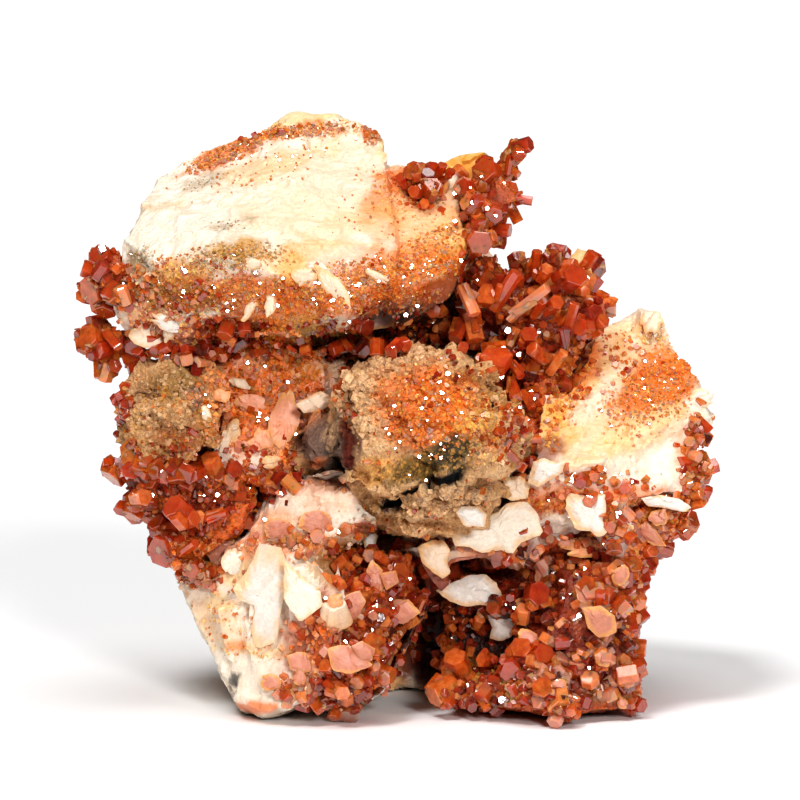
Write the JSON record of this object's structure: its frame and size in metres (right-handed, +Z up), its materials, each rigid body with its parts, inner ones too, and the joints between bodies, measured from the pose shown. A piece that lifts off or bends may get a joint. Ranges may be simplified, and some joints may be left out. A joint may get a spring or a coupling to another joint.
{
  "type": "vanadinite on matrix",
  "caption": "Hand-sized mineral specimen: red-orange hexagonal vanadinite crystals in clusters on pale barite and brown ironstone, free-standing on its broken foot.",
  "frame": {"origin": "on the ground, under the middle of the specimen's box", "axes": "+X to the right of the shown face, +Y to the back, +Z up"},
  "size_m": [0.0816, 0.0572, 0.0733],
  "materials": {
    "vanadinite": "translucent orange-red crystal with a bright, near-adamantine lustre",
    "ironstone": "dull granular tan-brown rock",
    "barite": "satin, milky cream-white spar, stained orange in places"
  },
  "bodies": {
    "root": {"vanadinite_top_spray": "vanadinite", "vanadinite_slab_group": "vanadinite", "vanadinite_saddle_cluster": "vanadinite", "vanadinite_left_rim": "vanadinite", "vanadinite_left_tip": "vanadinite", "vanadinite_left_cluster": "vanadinite", "vanadinite_right_rim": "vanadinite", "vanadinite_lower_right_mass": "vanadinite", "vanadinite_lower_centre": "vanadinite", "vanadinite_pocket_crust": "vanadinite", "vanadinite_back_upper": "vanadinite", "vanadinite_back_lower": "vanadinite", "ironstone_boulder": "ironstone", "ironstone_left_lump": "ironstone", "ironstone_pocket_chip": "ironstone", "barite_matrix": "barite"}
  },
  "joints": []
}
